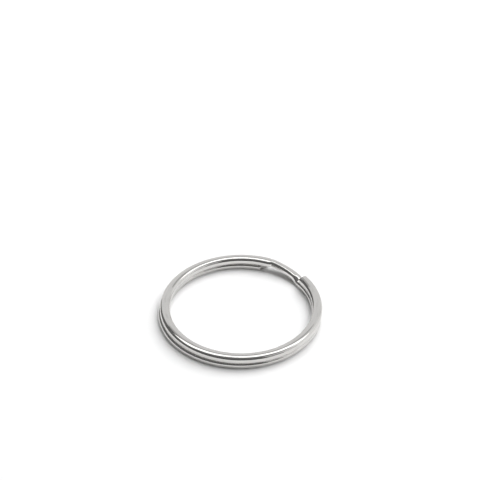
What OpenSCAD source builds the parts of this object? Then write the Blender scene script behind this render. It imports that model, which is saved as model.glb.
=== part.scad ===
// Split key ring: one wire, domed on top and flat below, wound into two turns that lie
// on each other. The wire starts in the upper turn, goes once round clockwise, steps down
// through an offset bend and goes round again as the lower turn. The ring lies flat on
// z = 0 with its middle on the Z axis. Angles are in degrees, counter-clockwise from +X.

/* [Ring] */
// Outer diameter of one turn
ring_od = 30; // [25:0.5:38]
// Sideways slip between the two turns, along X
turn_slip = 0.5; // [0:0.05:0.7]
// Gap between the two turns where they lie on each other
turn_gap = 0.05; // [0.03:0.01:0.2]

/* [Wire] */
// Width of the wire, across the ring
wire_w = 1.9; // [1.6:0.01:2.4]
// Height of the wire, along the ring's axis
wire_h = 1.2; // [1:0.01:1.5]
// Radius of the two shoulders of the wire's domed top
shoulder_r = 0.58; // [0.45:0.01:0.7]
// Slope of the dome's crown where it meets the shoulders
crown_a = 20; // [12:1:26]
// Radius of the two long edges of the wire's flat foot
foot_r = 0.18; // [0.12:0.01:0.3]
// Rounding of the two cut ends
end_r = 0.14; // [0.08:0.01:0.18]
// Slant of the lower turn's cut, which reaches furthest on the ring's outer side
cut_slant = 36; // [0:1:40]

/* [Offset bend] */
// Angle of the crease where the wire leaves the upper turn
bend_top_a = 67; // [55:1:80]
// Length of the bend's long slope, along the wire
slope_l = 6.35; // [5:0.05:8]
// Length of the steep foot below it, along the wire
foot_l = 1.1; // [0.8:0.02:1.5]
// Share of the drop that the long slope takes
slope_share = 0.66; // [0.5:0.01:0.8]
// Tilt of the wire's top face, away from the ring's middle, along the long slope
bend_roll = 20; // [0:1:24]
// Outward set of the wire along the long slope
bend_set = 0.22; // [0:0.01:0.35]
// Length of each crease of the bend, along the wire
crease_l = 0.5; // [0.4:0.05:0.6]
// Length from the bend's foot to the upper turn's cut
upper_end_gap = 0.64; // [0.5:0.02:1]
// Length from the bend's top to the outer corner of the lower turn's cut
lower_end_gap = 0.28; // [0.24:0.02:2]

/* [Hidden] */

mid_r = (ring_od - wire_w) / 2;
pitch = wire_h + turn_gap;
deg_per_mm = 180 / (PI * mid_r);

// Height of the middle of the wire in each turn
lower_z = wire_h / 2;
upper_z = lower_z + pitch;

// Angles along the wire, which runs clockwise and so towards smaller angles
crease_half_a = crease_l / 2 * deg_per_mm;
heading_step_a = crease_half_a / 4;
bend_mid_a = bend_top_a - slope_l * deg_per_mm;
bend_foot_a = bend_mid_a - foot_l * deg_per_mm;

// The bend begins and ends this many half creases outside its first and last crease
bend_lead = 1.5;
bend_start_a = bend_top_a + bend_lead * crease_half_a;
bend_end_a = bend_foot_a - bend_lead * crease_half_a;

// Ends of the wire, on the ring's inner side
upper_end_a = bend_foot_a - upper_end_gap * deg_per_mm;
lower_end_a = bend_top_a + lower_end_gap * deg_per_mm + slant_a(ring_od / 2, cut_slant);

// The bend and the tips reach this far into the turns, and are this much slimmer, so
// that the wire is one solid with no two surfaces in the same place
lap_l = 0.15;
lap_inset = 0.01;
lap_a = lap_l * deg_per_mm;

// A tip is its rounding and this much of the wire behind it, where a slant builds up
tip_lead = 0.4;
tip_l = end_r + tip_lead;
tip_a = tip_l * deg_per_mm;

// Least radius of the foot's edges, kept where the tips' rounding makes the wire slimmer
foot_min_r = 0.03;

// Facets: the turns are true revolved faces, and only the bend and the tips have rings
crown_steps = 5;
shoulder_steps = 6;
foot_steps = 3;
lead_steps = 4;
round_steps = 3;
bend_steps = 48;
turn_fn = 240;

// ---- The wire's section, as [out, up] points round its middle ----

// Points of an arc round c, at angles measured from up towards out, both ends included
function arc(c, r, from, to, steps) =
    [for (i = [0 : steps])
        let (a = from + (to - from) * i / steps)
        [c[0] + r * sin(a), c[1] + r * cos(a)]];

// Crown and shoulders meet with a common tangent, and plumb sides join them to the foot.
// The crown has an odd number of steps, and so a narrow flat land in the middle. The
// height h is from the flat foot, on which the ring rests, to that land.
function section(w, h, top_r, low_r) =
    let (
        top_x = w / 2 - top_r,
        crown_r = top_x / sin(crown_a) + top_r,
        crown_y = h / 2 - crown_r * cos(crown_a / crown_steps),
        top_y = crown_y + (crown_r - top_r) * cos(crown_a),
        low_x = w / 2 - low_r,
        low_y = low_r - h / 2,
        inner_a = crown_a * (1 - 2 / crown_steps)
    )
    concat(
        arc([0, crown_y], crown_r, -inner_a, inner_a, crown_steps - 2),
        arc([top_x, top_y], top_r, crown_a, 90, shoulder_steps),
        arc([low_x, low_y], low_r, 90, 180, foot_steps),
        arc([-low_x, low_y], low_r, 180, 270, foot_steps),
        arc([-top_x, top_y], top_r, 270, 360 - crown_a, shoulder_steps)
    );

function inset_section(d) =
    section(wire_w - 2 * d, wire_h - 2 * d, shoulder_r - d, max(foot_r - d, foot_min_r));

// ---- The wire's path ----

// 0 below x = 0 and x above it, with the corner rounded over c on each side
function eased(x, c) = x <= -c ? 0 : x >= c ? x : pow(x + c, 2) / (4 * c);

// 0 before angle a0 and 1 after a1, going clockwise, straight between eased creases
function ramp(a, a0, a1) =
    (eased(a0 - a, crease_half_a) - eased(a1 - a, crease_half_a)) / (a0 - a1);

// 1 along the long slope, for its roll and its outward set, and 0 in both turns
function on_slope(a) = ramp(a, bend_top_a, bend_top_a - 2 * crease_half_a)
    - ramp(a, bend_mid_a, bend_foot_a);

function drop(a) = slope_share * ramp(a, bend_top_a, bend_mid_a)
    + (1 - slope_share) * ramp(a, bend_mid_a, bend_foot_a);

// Middle of the wire at angle a, in a circle of radius r whose middle is x, z
function on_circle(a, r, x, z) = [x + r * cos(a), r * sin(a), z];

function bend_point(a) = on_circle(
    a,
    mid_r + bend_set * on_slope(a),
    turn_slip * (1 / 2 - ramp(a, bend_top_a, bend_foot_a)),
    upper_z - pitch * drop(a)
);

function bend_heading(a) =
    bend_point(a - heading_step_a) - bend_point(a + heading_step_a);

// The section at point p, square to the heading, with its top rolled outward
function placed(points, p, heading, roll) =
    let (
        t = heading / norm(heading),
        level = cross([0, 0, 1], t),
        out = level / norm(level),
        up = cross(t, out),
        across = out * cos(roll) - up * sin(roll),
        along = up * cos(roll) + out * sin(roll)
    )
    [for (q = points) p + across * q[0] + along * q[1]];

// A closed skin over a list of rings of points, each ring clockwise seen from the next
module skin(rings) {
    n = len(rings[0]);
    last = len(rings) - 1;
    sides = [
        for (i = [0 : last - 1], j = [0 : n - 1])
            let (a = i * n + j, b = i * n + (j + 1) % n)
            each [[a, b, a + n], [b, b + n, a + n]]
    ];
    start_cap = [for (j = [n - 1 : -1 : 0]) j];
    end_cap = [for (j = [0 : n - 1]) last * n + j];
    polyhedron([for (ring = rings) each ring], concat(sides, [start_cap, end_cap]));
}

// A turn from one angle to another, counter-clockwise, round the axis at x
module turn(x, z, from_a, to_a) {
    translate([x, 0, z])
        rotate([0, 0, from_a])
            rotate_extrude(angle = to_a - from_a, $fn = turn_fn)
                translate([mid_r, 0])
                    polygon(inset_section(0));
}

// Angle between the inner end of a slanting cut and the place where it crosses radius r
function slant_a(r, slant) =
    let (
        inner_r = mid_r - wire_w / 2,
        t = tan(slant),
        x = (inner_r * t * t + sqrt(r * r * (1 + t * t) - pow(inner_r * t, 2))) / (1 + t * t)
    )
    atan2((x - inner_r) * t, x);

// The section in a turn, at a length short of the cut at end_a and with a share of its
// slant: way is 1 at the wire's last end and -1 at its first
function tip_ring(x, z, end_a, way, slant, short, inset, share) = [
    for (q = inset_section(inset))
        let (
            r = mid_r + q[0],
            a = end_a + way * (short * deg_per_mm - share * slant_a(r, slant))
        )
        on_circle(a, r, x, z + q[1])
];

// The rounded tip at a cut end, as stages of [length short of the cut, inset, share]
module tip(x, z, end_a, way, slant) {
    root = [[tip_l + lap_l, lap_inset, 0]];
    lead = [
        for (i = [0 : lead_steps - 1])
            let (share = i / lead_steps)
            [tip_l - tip_lead * share, lap_inset, share]
    ];
    rounding = [
        for (i = [0 : round_steps])
            let (b = 90 * i / round_steps)
            [end_r * (1 - sin(b)), max(lap_inset, end_r * (1 - cos(b))), 1]
    ];
    rings = [
        for (q = concat(root, lead, rounding))
            tip_ring(x, z, end_a, way, slant, q[0], q[1], q[2])
    ];
    skin(way > 0 ? rings : [for (i = [len(rings) - 1 : -1 : 0]) rings[i]]);
}

module offset_bend() {
    from_a = bend_start_a + lap_a;
    to_a = bend_end_a - lap_a;
    skin([
        for (i = [0 : bend_steps])
            let (a = from_a + (to_a - from_a) * i / bend_steps)
            placed(
                inset_section(lap_inset),
                bend_point(a),
                bend_heading(a),
                bend_roll * on_slope(a)
            )
    ]);
}

module split_ring() {
    upper_x = turn_slip / 2;
    lower_x = -turn_slip / 2;
    color("silver")
        union() {
            tip(upper_x, upper_z, upper_end_a, -1, 0);
            turn(upper_x, upper_z, bend_start_a - 360, upper_end_a - tip_a);
            offset_bend();
            turn(lower_x, lower_z, lower_end_a - 360 + tip_a, bend_end_a);
            tip(lower_x, lower_z, lower_end_a - 360, 1, cut_slant);
        }
}

split_ring();
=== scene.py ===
import math

import bpy
import numpy as np
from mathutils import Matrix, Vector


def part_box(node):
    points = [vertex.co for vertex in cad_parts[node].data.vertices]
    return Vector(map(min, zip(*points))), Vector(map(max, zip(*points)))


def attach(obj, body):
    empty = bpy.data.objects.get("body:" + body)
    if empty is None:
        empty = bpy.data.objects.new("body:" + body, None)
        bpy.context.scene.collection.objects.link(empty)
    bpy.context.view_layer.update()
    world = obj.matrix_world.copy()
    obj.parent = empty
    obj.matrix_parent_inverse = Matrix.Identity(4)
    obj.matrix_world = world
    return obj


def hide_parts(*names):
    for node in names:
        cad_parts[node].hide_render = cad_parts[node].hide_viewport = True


# A split key ring: one wire, domed on top and flat below, in two turns that lie on each
# other. Lengths are metres and angles degrees, counter-clockwise from +X.

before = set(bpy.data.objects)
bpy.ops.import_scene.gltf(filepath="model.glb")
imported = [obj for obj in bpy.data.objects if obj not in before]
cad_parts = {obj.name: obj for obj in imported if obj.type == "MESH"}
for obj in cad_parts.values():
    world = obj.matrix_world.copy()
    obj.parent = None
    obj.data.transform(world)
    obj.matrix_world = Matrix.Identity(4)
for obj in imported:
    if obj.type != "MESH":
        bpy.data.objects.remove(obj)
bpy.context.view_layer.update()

MM = 0.001
scene = bpy.context.scene

# ---- Sizes of the wire and its offset bend, as in the CAD source ----

TURN_GAP = 0.05 * MM
WIRE_W = 1.9 * MM
SHOULDER_R = 0.58 * MM
CROWN_A = 20
FOOT_R = 0.18 * MM
END_R = 0.14 * MM
CUT_SLANT = 36
BEND_TOP_A = 67
SLOPE_L = 6.35 * MM
FOOT_L = 1.1 * MM
SLOPE_SHARE = 0.66
BEND_ROLL = 20
BEND_SET = 0.22 * MM
CREASE_L = 0.5 * MM
UPPER_END_GAP = 0.64 * MM
LOWER_END_GAP = 0.28 * MM
TIP_LEAD = 0.4 * MM
FOOT_MIN_R = 0.03 * MM

# The CAD's turns slip more along X. These follow the photograph, inside the CAD's box: the
# turns lie nearly in line, and the lower one's radius grows by OVAL towards both its sides
TURN_SLIP = 0.2 * MM
OVAL = 0.13 * MM

# The frame gives a turn's outer diameter as the ring's extent along Y
low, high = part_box("split_ring")
RING_OD = high.y - low.y
TOP = high.z
WIRE_H = (TOP - TURN_GAP) / 2

MID_R = (RING_OD - WIRE_W) / 2
PITCH = WIRE_H + TURN_GAP
LOWER_Z = WIRE_H / 2
UPPER_Z = LOWER_Z + PITCH
DEG = math.degrees(1 / MID_R)

CREASE_HALF_A = CREASE_L / 2 * DEG
BEND_MID_A = BEND_TOP_A - SLOPE_L * DEG
BEND_FOOT_A = BEND_MID_A - FOOT_L * DEG

# The section is this much slimmer all round than the CAD's, whose facets cut inside its
# true circles
SKIN = 0.005 * MM

# ---- Mesh steps: counts round the section and along an end, angles along the wire ----

CROWN_STEPS = 14
SHOULDER_STEPS = 18
WALL_STEPS = 4
FOOT_STEPS = 7
ROUND_STEPS = 7
LEAD_STEPS = 8
TURN_STEP = 1.0
BEND_STEP = 0.16

# ---- Camera: how high it stands above the ring, and how far down it looks ----

CAM_DIST = 220 * MM
CAM_ELEV = 40.3
CAM_PITCH = 37.27
CAM_X = -0.10 * MM
CAM_LENS = 89.47
CAM_SENSOR = 36
CAM_NEAR = 5 * MM
CAM_FAR = 20


def make_camera():
    """The camera at the photograph's angle, with the ring low in the frame."""
    cam = bpy.data.cameras.new("camera")
    cam.lens = CAM_LENS
    cam.sensor_width = CAM_SENSOR
    cam.clip_start = CAM_NEAR
    cam.clip_end = CAM_FAR
    obj = bpy.data.objects.new("camera", cam)
    scene.collection.objects.link(obj)
    e = math.radians(CAM_ELEV)
    obj.location = (CAM_X, -CAM_DIST * math.cos(e), TOP + CAM_DIST * math.sin(e))
    obj.rotation_euler = (math.radians(90 - CAM_PITCH), 0, 0)
    scene.camera = obj


# ---- The wire's section, as [out, up] points round its middle ----


def arc(c, r, start, end, steps):
    """Points of an arc round c, at angles from up towards out, both ends included."""
    a = np.radians(np.linspace(start, end, steps + 1))
    return np.stack([c[0] + r * np.sin(a), c[1] + r * np.cos(a)], 1)


def line(p, q, steps):
    """Points between p and q, neither of them included."""
    t = np.arange(1, steps)[:, None] / steps
    return np.array(p) * (1 - t) + np.array(q) * t


def section(inset):
    """The wire's outline, made slimmer by inset all round."""
    half_w = WIRE_W / 2 - inset
    half_h = WIRE_H / 2 - inset
    top_r = SHOULDER_R - inset
    low_r = max(FOOT_R - inset, FOOT_MIN_R)
    slope = math.radians(CROWN_A)
    top_x = half_w - top_r
    crown_r = top_x / math.sin(slope) + top_r
    crown_y = half_h - crown_r
    top_y = crown_y + (crown_r - top_r) * math.cos(slope)
    low_x = half_w - low_r
    low_y = low_r - half_h
    turn = CROWN_A * (1 - 2 / CROWN_STEPS)
    return np.concatenate([
        arc((0, crown_y), crown_r, -turn, turn, CROWN_STEPS - 2),
        arc((top_x, top_y), top_r, CROWN_A, 90, SHOULDER_STEPS),
        line((half_w, top_y), (half_w, low_y), WALL_STEPS),
        arc((low_x, low_y), low_r, 90, 180, FOOT_STEPS),
        line((low_x, -half_h), (-low_x, -half_h), WALL_STEPS),
        arc((-low_x, low_y), low_r, 180, 270, FOOT_STEPS),
        line((-half_w, low_y), (-half_w, top_y), WALL_STEPS),
        arc((-top_x, top_y), top_r, 270, 360 - CROWN_A, SHOULDER_STEPS),
    ])


# ---- The wire's path, at angles that fall along it: the upper turn is the first ----


def eased(x, c):
    """0 below x = 0 and x above it, with the corner rounded over c on each side."""
    return np.where(x <= -c, 0, np.where(x >= c, x, (x + c) ** 2 / (4 * c)))


def ramp(a, a0, a1):
    """0 before a0 and 1 after a1, going clockwise, straight between eased creases."""
    return (eased(a0 - a, CREASE_HALF_A) - eased(a1 - a, CREASE_HALF_A)) / (a0 - a1)


def on_slope(a):
    """1 along the bend's long slope and 0 in both turns."""
    rise = ramp(a, BEND_TOP_A, BEND_TOP_A - 2 * CREASE_HALF_A)
    return float(rise - ramp(a, BEND_MID_A, BEND_FOOT_A))


def drop(a):
    """The share of the way down to the lower turn."""
    slope = ramp(a, BEND_TOP_A, BEND_MID_A)
    return float(SLOPE_SHARE * slope + (1 - SLOPE_SHARE) * ramp(a, BEND_MID_A, BEND_FOOT_A))


def path_point(a):
    """The middle of the wire at angle a."""
    r = MID_R + BEND_SET * on_slope(a)
    t = math.radians(a)
    slip = TURN_SLIP * (0.5 - float(ramp(a, BEND_TOP_A, BEND_FOOT_A)))
    x = slip + (r + OVAL * drop(a)) * math.cos(t)
    return np.array([x, r * math.sin(t), UPPER_Z - PITCH * drop(a)])


def body_ring(points, a):
    """The section at angle a, square to the path, with its top rolled outward."""
    d = CREASE_HALF_A / 4
    t = path_point(a - d) - path_point(a + d)
    t /= np.linalg.norm(t)
    out = np.cross([0, 0, 1], t)
    out /= np.linalg.norm(out)
    up = np.cross(t, out)
    roll = math.radians(BEND_ROLL * on_slope(a))
    across = out * math.cos(roll) - up * math.sin(roll)
    along = up * math.cos(roll) + out * math.sin(roll)
    return path_point(a) + points[:, :1] * across + points[:, 1:] * along


def slant_a(r):
    """Angle from the inner end of the slanting cut to the place where it crosses r."""
    inner_r = MID_R - WIRE_W / 2
    t = math.tan(math.radians(CUT_SLANT))
    x = inner_r * t**2 + np.sqrt(r**2 * (1 + t**2) - (inner_r * t) ** 2)
    x = x / (1 + t**2)
    return np.degrees(np.arctan2((x - inner_r) * t, x))


def upper_tip(points, a):
    """The section straight across the upper turn at angle a."""
    r = MID_R + points[:, 0]
    t = math.radians(a)
    x = TURN_SLIP / 2 + r * math.cos(t)
    return np.stack([x, r * math.sin(t), UPPER_Z + points[:, 1]], 1)


def lower_tip(points, a, share):
    """The section across the lower turn at angle a, with a share of its cut's slant."""
    r = MID_R + points[:, 0]
    t = np.radians(a - share * slant_a(r))
    x = (r + OVAL) * np.cos(t) - TURN_SLIP / 2
    return np.stack([x, r * np.sin(t), LOWER_Z + points[:, 1]], 1)


# ---- The wire's mesh ----


def tip_stages():
    """[length short of the cut, inset, share of its slant], from the cut backwards."""
    stages = []
    for i in range(ROUND_STEPS + 1):
        b = math.radians(90 * (ROUND_STEPS - i) / ROUND_STEPS)
        stages.append((END_R * (1 - math.sin(b)), END_R * (1 - math.cos(b)), 1.0))
    for i in range(1, LEAD_STEPS):
        share = i / LEAD_STEPS
        stages.append((END_R + TIP_LEAD * share, 0.0, 1 - share))
    return stages


def body_angles(start, end):
    """Angles along the wire from start down to end, close together in the bend."""
    ease = 2 * CREASE_HALF_A
    marks = [start, BEND_TOP_A + ease, BEND_FOOT_A - ease, end]
    steps = [TURN_STEP, BEND_STEP, TURN_STEP]
    parts = []
    for a0, a1, step in zip(marks, marks[1:], steps):
        parts.append(np.linspace(a0, a1, round((a0 - a1) / step), endpoint=False))
    return np.concatenate(parts + [[end]])


def wire_rings():
    """[length along the wire, section, points] of each ring, from the upper end on."""
    tip = (END_R + TIP_LEAD) * DEG
    start = BEND_FOOT_A - UPPER_END_GAP * DEG + 360
    end = BEND_TOP_A + LOWER_END_GAP * DEG + float(slant_a(RING_OD / 2)) - 360
    rings = []
    for short, inset, share in tip_stages():
        s = section(SKIN + inset)
        rings.append((short, s, upper_tip(s, start - short * DEG)))
    s = section(SKIN)
    for a in body_angles(start - tip, end + tip):
        rings.append(((start - a) / DEG, s, body_ring(s, a)))
    for short, inset, share in reversed(tip_stages()):
        s = section(SKIN + inset)
        a = end + short * DEG
        rings.append(((start - a) / DEG, s, lower_tip(s, a, share)))
    return rings


def make_wire(material):
    """The ring's one piece: a skin over all the rings of points, closed at both ends."""
    rings = wire_rings()
    m, n = len(rings), len(rings[0][1])
    i, j = np.meshgrid(np.arange(m - 1), np.arange(n), indexing="ij")
    k = (j + 1) % n
    quads = np.stack([i * n + j, (i + 1) * n + j, (i + 1) * n + k, i * n + k], -1)
    caps = [list(range(n)), list(range(m * n - 1, (m - 1) * n - 1, -1))]
    mesh = bpy.data.meshes.new("key_ring_wire")
    points = np.concatenate([ring[2] for ring in rings])
    mesh.from_pydata(points.tolist(), [], quads.reshape(-1, 4).tolist() + caps)
    mesh.polygons.foreach_set("use_smooth", [True] * ((m - 1) * n) + [False] * 2)

    # Where each point is on the unwound wire, in mm: along it, outward and up
    place = np.concatenate([np.column_stack([np.full(n, s), q]) for s, q, p in rings]) / MM
    attribute = mesh.attributes.new("wire_place", "FLOAT_VECTOR", "POINT")
    attribute.data.foreach_set("vector", place.astype(np.float32).ravel())
    mesh.update()
    mesh.materials.append(material)
    obj = bpy.data.objects.new("key_ring_wire", mesh)
    scene.collection.objects.link(obj)
    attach(obj, "root")
    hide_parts("split_ring")
    return obj


# ---- Materials ----

STEEL = (0.67, 0.66, 0.645, 1)
STEEL_DULL = (0.61, 0.6, 0.585, 1)
STEEL_WORN = (0.7, 0.69, 0.675, 1)

# Noise: cells per mm across the wire and along it, detail and seed
GRAIN = (12, 0.12, 3, 3.1)
MARKS = (2.2, 0.35, 4, 7.7)

# Where the noise of the marks turns dull, and where it turns worn
DULL_FROM = 0.5
DULL_TO = 0.75
WORN_FROM = 0.45
WORN_TO = 0.25

# Roughness grows with GRAIN_SHARE of the grain and all of the dull marks
GRAIN_SHARE = 0.6
ROUGH_FROM = 0.2
ROUGH_TO = 1.2
ROUGH_LOW = 0.06
ROUGH_HIGH = 0.13
BUMP_H = 0.0012 * MM

FLOOR = (0.93, 0.93, 0.93, 1)
FLOOR_ROUGH = 0.9


def noise(tree, place, across, along, detail, seed):
    """Noise on the wire, with so many cells per mm across it and along it."""
    mapping = tree.nodes.new("ShaderNodeMapping")
    mapping.inputs["Location"].default_value = (seed, seed, seed)
    mapping.inputs["Scale"].default_value = (along, across, across)
    tree.links.new(place, mapping.inputs["Vector"])
    texture = tree.nodes.new("ShaderNodeTexNoise")
    texture.inputs["Scale"].default_value = 1
    texture.inputs["Detail"].default_value = detail
    tree.links.new(mapping.outputs["Vector"], texture.inputs["Vector"])
    return texture.outputs["Fac"]


def ranged(tree, value, start, end, low, high):
    """value taken from start..end to low..high, with soft ends."""
    node = tree.nodes.new("ShaderNodeMapRange")
    node.interpolation_type = "SMOOTHSTEP"
    node.inputs["From Min"].default_value = start
    node.inputs["From Max"].default_value = end
    node.inputs["To Min"].default_value = low
    node.inputs["To Max"].default_value = high
    tree.links.new(value, node.inputs["Value"])
    return node.outputs["Result"]


def mixed(tree, share, start, end):
    """start, a colour or a socket, where share is 0, and the colour end where it is 1."""
    node = tree.nodes.new("ShaderNodeMix")
    node.data_type = "RGBA"
    tree.links.new(share, node.inputs["Factor"])
    a, b = (socket for socket in node.inputs if socket.type == "RGBA")
    if isinstance(start, bpy.types.NodeSocket):
        tree.links.new(start, a)
    else:
        a.default_value = start
    b.default_value = end
    return next(socket for socket in node.outputs if socket.type == "RGBA")


def steel():
    """Bright drawn spring steel: lines along the wire, dull stretches and rubbed marks."""
    mat = bpy.data.materials.new("wire")
    mat.use_nodes = True
    tree = mat.node_tree
    b = tree.nodes["Principled BSDF"]
    b.inputs["Metallic"].default_value = 1
    attribute = tree.nodes.new("ShaderNodeAttribute")
    attribute.attribute_name = "wire_place"
    place = attribute.outputs["Vector"]
    grain = noise(tree, place, *GRAIN)
    marks = noise(tree, place, *MARKS)
    dull = ranged(tree, marks, DULL_FROM, DULL_TO, 0, 1)
    worn = ranged(tree, marks, WORN_FROM, WORN_TO, 0, 1)
    colour = mixed(tree, worn, mixed(tree, dull, STEEL, STEEL_DULL), STEEL_WORN)
    tree.links.new(colour, b.inputs["Base Color"])
    blur = tree.nodes.new("ShaderNodeMath")
    blur.operation = "MULTIPLY_ADD"
    blur.inputs[1].default_value = GRAIN_SHARE
    tree.links.new(grain, blur.inputs[0])
    tree.links.new(dull, blur.inputs[2])
    rough = ranged(tree, blur.outputs[0], ROUGH_FROM, ROUGH_TO, ROUGH_LOW, ROUGH_HIGH)
    tree.links.new(rough, b.inputs["Roughness"])
    bump = tree.nodes.new("ShaderNodeBump")
    bump.inputs["Strength"].default_value = 1
    bump.inputs["Distance"].default_value = BUMP_H
    tree.links.new(grain, bump.inputs["Height"])
    tree.links.new(bump.outputs["Normal"], b.inputs["Normal"])
    return mat


def floor_material():
    """Matt near-white."""
    mat = bpy.data.materials.new("floor")
    mat.use_nodes = True
    b = mat.node_tree.nodes["Principled BSDF"]
    b.inputs["Base Color"].default_value = FLOOR
    b.inputs["Roughness"].default_value = FLOOR_ROUGH
    b.inputs["Specular IOR Level"].default_value = 0
    return mat


def emission_material(name, radiance):
    """White light of one radiance."""
    mat = bpy.data.materials.new(name)
    mat.use_nodes = True
    tree = mat.node_tree
    tree.nodes.clear()
    glow = tree.nodes.new("ShaderNodeEmission")
    glow.inputs["Strength"].default_value = radiance
    out = tree.nodes.new("ShaderNodeOutputMaterial")
    tree.links.new(glow.outputs[0], out.inputs["Surface"])
    return mat


# ---- Floor and studio: azimuths run from straight right of the ring, towards its back ----

FLOOR_HALF = 3.0

# Lamps light the floor only: azimuth, elevation, size and radiance
LAMP_DIST = 2.0
LAMPS = {
    "main": (50, 58, 2.4, 3.85),
    "side": (160, 50, 1.2, 0.95),
    "fill": (315, 50, 1.2, 0.75),
}

# Reflectors show in the steel only: azimuths, elevations and radiance of each screen
SCREEN_R = 3.0
SCREEN_STEPS_AZ = 24
SCREEN_STEPS_EL = 8
SCREENS = {
    "right": (-15, 40, 0, 45, 1.0),
    "right_front": (-35, -15, 0, 45, 0.75),
    "front_fade": (305, 325, 0, 45, 0.4),
    "back": (40, 125, 0, 45, 0.83),
    "left": (125, 200, 0, 45, 0.16),
    "front": (200, 305, 0, 45, 0.13),
    "right_high": (-55, 60, 45, 56, 0.9),
    "back_high": (60, 120, 45, 56, 0.5),
    "front_high": (120, 305, 45, 56, 0.14),
    "cap": (0, 360, 56, 90, 0.2),
}

# The softbox over the ring is level at SOFTBOX_Z, from START to END in slopes of x and y
SOFTBOX_Z = 2.2
SOFTBOX_START = (-0.62, 0.2)
SOFTBOX_END = (0.8, 0.62)
SOFTBOX_L = 2.0


def make_floor():
    """The floor, which keeps the ring's shadow."""
    mesh = bpy.data.meshes.new("floor")
    s = FLOOR_HALF
    mesh.from_pydata([(-s, -s, 0), (s, -s, 0), (s, s, 0), (-s, s, 0)], [], [(0, 1, 2, 3)])
    mesh.materials.append(floor_material())
    obj = bpy.data.objects.new("floor", mesh)
    scene.collection.objects.link(obj)


def toward(az, el, distance):
    """The place at a distance from the ring, at an azimuth and an elevation."""
    a, e = math.radians(az), math.radians(el)
    flat = distance * math.cos(e)
    return flat * math.cos(a), flat * math.sin(a), distance * math.sin(e)


def lamp(name, az, el, size, radiance):
    """A square area lamp that lights the floor, aimed at the ring."""
    light = bpy.data.lights.new(name, "AREA")
    light.size = size
    light.energy = radiance * math.pi * size**2
    obj = bpy.data.objects.new(name, light)
    obj.location = toward(az, el, LAMP_DIST)
    obj.rotation_euler = (0, math.radians(90 - el), math.radians(az))
    obj.visible_camera = False
    obj.visible_glossy = False
    scene.collection.objects.link(obj)


def reflector(name, points, faces, radiance):
    """A glowing surface that only the steel shows."""
    mesh = bpy.data.meshes.new(name)
    mesh.from_pydata(points, [], faces)
    mesh.materials.append(emission_material(name, radiance))
    obj = bpy.data.objects.new(name, mesh)
    obj.visible_camera = False
    obj.visible_diffuse = False
    scene.collection.objects.link(obj)


def screen(name, az0, az1, el0, el1, radiance):
    """A curved reflector between two azimuths and two elevations."""
    n, m = SCREEN_STEPS_AZ, SCREEN_STEPS_EL
    points, faces = [], []
    for i in range(n + 1):
        for j in range(m + 1):
            az = az0 + (az1 - az0) * i / n
            el = el0 + (el1 - el0) * j / m
            points.append(toward(az, el, SCREEN_R))
    for i in range(n):
        for j in range(m):
            k = i * (m + 1) + j
            faces.append((k, k + 1, k + m + 2, k + m + 1))
    reflector(name, points, faces, radiance)


def softbox():
    """The level softbox over the ring and behind it."""
    (u0, v0), (u1, v1) = SOFTBOX_START, SOFTBOX_END
    corners = ((u0, v0), (u1, v0), (u1, v1), (u0, v1))
    points = [(u * SOFTBOX_Z, v * SOFTBOX_Z, SOFTBOX_Z) for u, v in corners]
    reflector("key", points, [(0, 1, 2, 3)], SOFTBOX_L)


def make_world():
    """White behind the floor, and no light of its own."""
    world = bpy.data.worlds.new("studio")
    world.use_nodes = True
    tree = world.node_tree
    background = tree.nodes["Background"]
    background.inputs["Color"].default_value = (1, 1, 1, 1)
    path = tree.nodes.new("ShaderNodeLightPath")
    tree.links.new(path.outputs["Is Camera Ray"], background.inputs["Strength"])
    scene.world = world


# ---- The scene ----

make_camera()
make_wire(steel())
make_floor()
make_world()
for name, place in SCREENS.items():
    screen(name, *place)
softbox()
for name, place in LAMPS.items():
    lamp(name, *place)

scene.view_settings.view_transform = "Standard"
